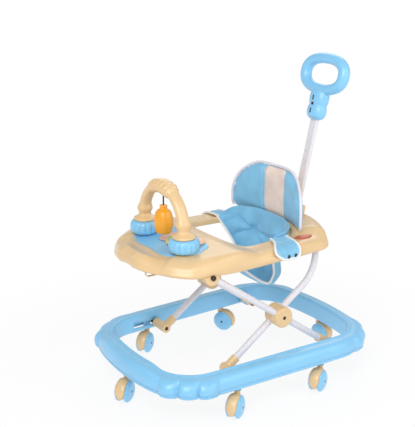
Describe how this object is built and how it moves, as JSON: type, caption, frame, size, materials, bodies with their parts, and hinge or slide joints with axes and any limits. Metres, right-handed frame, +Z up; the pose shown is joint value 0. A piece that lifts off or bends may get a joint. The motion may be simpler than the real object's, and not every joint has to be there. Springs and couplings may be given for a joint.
{
  "type": "baby walker",
  "caption": "Baby walker with a ring base on twin-wheel casters, a folding scissor frame, a toy tray, a fabric seat and a push handle.",
  "frame": {"origin": "on the floor, under the middle of the walker's box", "axes": "+Z up, the toy tray's front faces -Y, the child's left is +X"},
  "size_m": [0.4823, 0.65, 0.7688],
  "materials": {
    "blue_plastic": "moulded, glossy",
    "cream_plastic": "moulded, glossy",
    "frame_paint": "powder coated",
    "dark_steel": "blackened",
    "orange_plastic": "moulded, glossy",
    "yellow_plastic": "moulded, glossy",
    "peach_plastic": "soft, satin",
    "red_plastic": "satin",
    "seat_fabric": "woven"
  },
  "bodies": {
    "base": {"base_ring": "blue_plastic", "rear_pivot_pins": "dark_steel"},
    "outer_frame": {"outer_legs": "frame_paint", "top_rod": "dark_steel", "rod_brackets": "cream_plastic", "rear_feet": "cream_plastic", "outer_hubs": "cream_plastic", "hub_bolts": "dark_steel"},
    "inner_frame": {"inner_legs": "frame_paint", "inner_hubs": "cream_plastic", "front_feet": "cream_plastic", "slide_pins": "dark_steel"},
    "tray": {"tray_shell": "cream_plastic", "rod_tracks": "cream_plastic", "bar_clips": "cream_plastic", "toy_panel": "blue_plastic", "toy_arch": "cream_plastic", "backrest_cushion": "seat_fabric", "backrest_board": "cream_plastic", "seat_sling": "seat_fabric", "seat_flap_left": "seat_fabric", "seat_flap_right": "seat_fabric", "flap_snaps": "dark_steel", "deck_plates": "red_plastic", "bar_socket": "cream_plastic", "push_bar": "frame_paint", "push_handle": "blue_plastic", "handle_screws": "dark_steel"},
    "caster_front": {"caster_front_hood": "cream_plastic", "caster_front_pins": "dark_steel"},
    "caster_front_wheel_left": {"caster_front_wheel_left": "blue_plastic"},
    "caster_front_wheel_right": {"caster_front_wheel_right": "blue_plastic"},
    "caster_front_left": {"caster_front_left_hood": "cream_plastic", "caster_front_left_pins": "dark_steel"},
    "caster_front_left_wheel_left": {"caster_front_left_wheel_left": "blue_plastic"},
    "caster_front_left_wheel_right": {"caster_front_left_wheel_right": "blue_plastic"},
    "caster_rear_left": {"caster_rear_left_hood": "cream_plastic", "caster_rear_left_pins": "dark_steel"},
    "caster_rear_left_wheel_left": {"caster_rear_left_wheel_left": "blue_plastic"},
    "caster_rear_left_wheel_right": {"caster_rear_left_wheel_right": "blue_plastic"},
    "caster_rear": {"caster_rear_hood": "cream_plastic", "caster_rear_pins": "dark_steel"},
    "caster_rear_wheel_left": {"caster_rear_wheel_left": "blue_plastic"},
    "caster_rear_wheel_right": {"caster_rear_wheel_right": "blue_plastic"},
    "caster_rear_right": {"caster_rear_right_hood": "cream_plastic", "caster_rear_right_pins": "dark_steel"},
    "caster_rear_right_wheel_left": {"caster_rear_right_wheel_left": "blue_plastic"},
    "caster_rear_right_wheel_right": {"caster_rear_right_wheel_right": "blue_plastic"},
    "caster_front_right": {"caster_front_right_hood": "cream_plastic", "caster_front_right_pins": "dark_steel"},
    "caster_front_right_wheel_left": {"caster_front_right_wheel_left": "blue_plastic"},
    "caster_front_right_wheel_right": {"caster_front_right_wheel_right": "blue_plastic"},
    "roller_left": {"roller_left": "blue_plastic"},
    "roller_right": {"roller_right": "blue_plastic"},
    "toy": {"hanging_toy": "orange_plastic", "toy_hook": "dark_steel"},
    "knob": {"turn_knob": "yellow_plastic"},
    "button": {"press_button": "peach_plastic"}
  },
  "joints": [
    {"name": "fold", "type": "hinge", "parent": "base", "child": "outer_frame", "pos_m": [0, 0.187, 0.083], "axis": [1, 0, 0], "range_deg": [0, 25]},
    {"name": "leg_cross", "type": "hinge", "parent": "outer_frame", "child": "inner_frame", "pos_m": [0, 0.043, 0.185], "axis": [1, 0, 0], "range_deg": [-50.5, 0.5]},
    {"name": "tray_pivot", "type": "hinge", "parent": "inner_frame", "child": "tray", "pos_m": [0, 0.158, 0.345], "axis": [1, 0, 0], "range_deg": [-0.5, 30.25]},
    {"name": "swivel_front", "type": "hinge", "parent": "base", "child": "caster_front", "pos_m": [0, -0.286, 0.06], "axis": [0, 0, 1], "continuous": true},
    {"name": "roll_front_left", "type": "hinge", "parent": "caster_front", "child": "caster_front_wheel_left", "pos_m": [0.00699, -0.29636, 0.0265], "axis": [0.829, 0.5592, 0], "continuous": true},
    {"name": "roll_front_right", "type": "hinge", "parent": "caster_front", "child": "caster_front_wheel_right", "pos_m": [0.00699, -0.29636, 0.0265], "axis": [0.829, 0.5592, 0], "continuous": true},
    {"name": "swivel_front_left", "type": "hinge", "parent": "base", "child": "caster_front_left", "pos_m": [0.20325, -0.115, 0.06], "axis": [0, 0, 1], "continuous": true},
    {"name": "roll_front_left_left", "type": "hinge", "parent": "caster_front_left", "child": "caster_front_left_wheel_left", "pos_m": [0.21024, -0.12536, 0.0265], "axis": [0.829, 0.5592, 0], "continuous": true},
    {"name": "roll_front_left_right", "type": "hinge", "parent": "caster_front_left", "child": "caster_front_left_wheel_right", "pos_m": [0.21024, -0.12536, 0.0265], "axis": [0.829, 0.5592, 0], "continuous": true},
    {"name": "swivel_rear_left", "type": "hinge", "parent": "base", "child": "caster_rear_left", "pos_m": [0.21063, 0.123, 0.06], "axis": [0, 0, 1], "continuous": true},
    {"name": "roll_rear_left_left", "type": "hinge", "parent": "caster_rear_left", "child": "caster_rear_left_wheel_left", "pos_m": [0.2163, 0.11186, 0.0265], "axis": [0.891, 0.454, 0], "continuous": true},
    {"name": "roll_rear_left_right", "type": "hinge", "parent": "caster_rear_left", "child": "caster_rear_left_wheel_right", "pos_m": [0.2163, 0.11186, 0.0265], "axis": [0.891, 0.454, 0], "continuous": true},
    {"name": "swivel_rear", "type": "hinge", "parent": "base", "child": "caster_rear", "pos_m": [0, 0.298, 0.06], "axis": [0, 0, 1], "continuous": true},
    {"name": "roll_rear_left", "type": "hinge", "parent": "caster_rear", "child": "caster_rear_wheel_left", "pos_m": [0.01227, 0.30039, 0.0265], "axis": [-0.1908, 0.9816, 0], "continuous": true},
    {"name": "roll_rear_right", "type": "hinge", "parent": "caster_rear", "child": "caster_rear_wheel_right", "pos_m": [0.01227, 0.30039, 0.0265], "axis": [-0.1908, 0.9816, 0], "continuous": true},
    {"name": "swivel_rear_right", "type": "hinge", "parent": "base", "child": "caster_rear_right", "pos_m": [-0.21063, 0.123, 0.06], "axis": [0, 0, 1], "continuous": true},
    {"name": "roll_rear_right_left", "type": "hinge", "parent": "caster_rear_right", "child": "caster_rear_right_wheel_left", "pos_m": [-0.19991, 0.12944, 0.0265], "axis": [-0.515, 0.8572, 0], "continuous": true},
    {"name": "roll_rear_right_right", "type": "hinge", "parent": "caster_rear_right", "child": "caster_rear_right_wheel_right", "pos_m": [-0.19991, 0.12944, 0.0265], "axis": [-0.515, 0.8572, 0], "continuous": true},
    {"name": "swivel_front_right", "type": "hinge", "parent": "base", "child": "caster_front_right", "pos_m": [-0.20325, -0.115, 0.06], "axis": [0, 0, 1], "continuous": true},
    {"name": "roll_front_right_left", "type": "hinge", "parent": "caster_front_right", "child": "caster_front_right_wheel_left", "pos_m": [-0.19626, -0.12536, 0.0265], "axis": [0.829, 0.5592, 0], "continuous": true},
    {"name": "roll_front_right_right", "type": "hinge", "parent": "caster_front_right", "child": "caster_front_right_wheel_right", "pos_m": [-0.19626, -0.12536, 0.0265], "axis": [0.829, 0.5592, 0], "continuous": true},
    {"name": "roller_turn_left", "type": "hinge", "parent": "tray", "child": "roller_left", "pos_m": [0.086, -0.18, 0.384], "axis": [0, 0, 1], "continuous": true},
    {"name": "roller_turn_right", "type": "hinge", "parent": "tray", "child": "roller_right", "pos_m": [-0.086, -0.18, 0.384], "axis": [0, 0, 1], "continuous": true},
    {"name": "toy_swing", "type": "hinge", "parent": "tray", "child": "toy", "pos_m": [0, -0.18, 0.5], "axis": [1, 0, 0], "range_deg": [-28, 28]},
    {"name": "knob_turn", "type": "hinge", "parent": "tray", "child": "knob", "pos_m": [0.024, -0.1705, 0.36527], "axis": [0, -0.1149, 0.9934], "continuous": true},
    {"name": "button_press", "type": "slide", "parent": "tray", "child": "button", "axis": [0, 0.1149, -0.9934], "range_m": [0, 0.004], "stiffness_N_per_m": 400}
  ],
  "couplings": [
    {"joint": "leg_cross", "follows": "fold", "ratio": -2},
    {"joint": "tray_pivot", "follows": "fold", "ratio": 1.19}
  ]
}
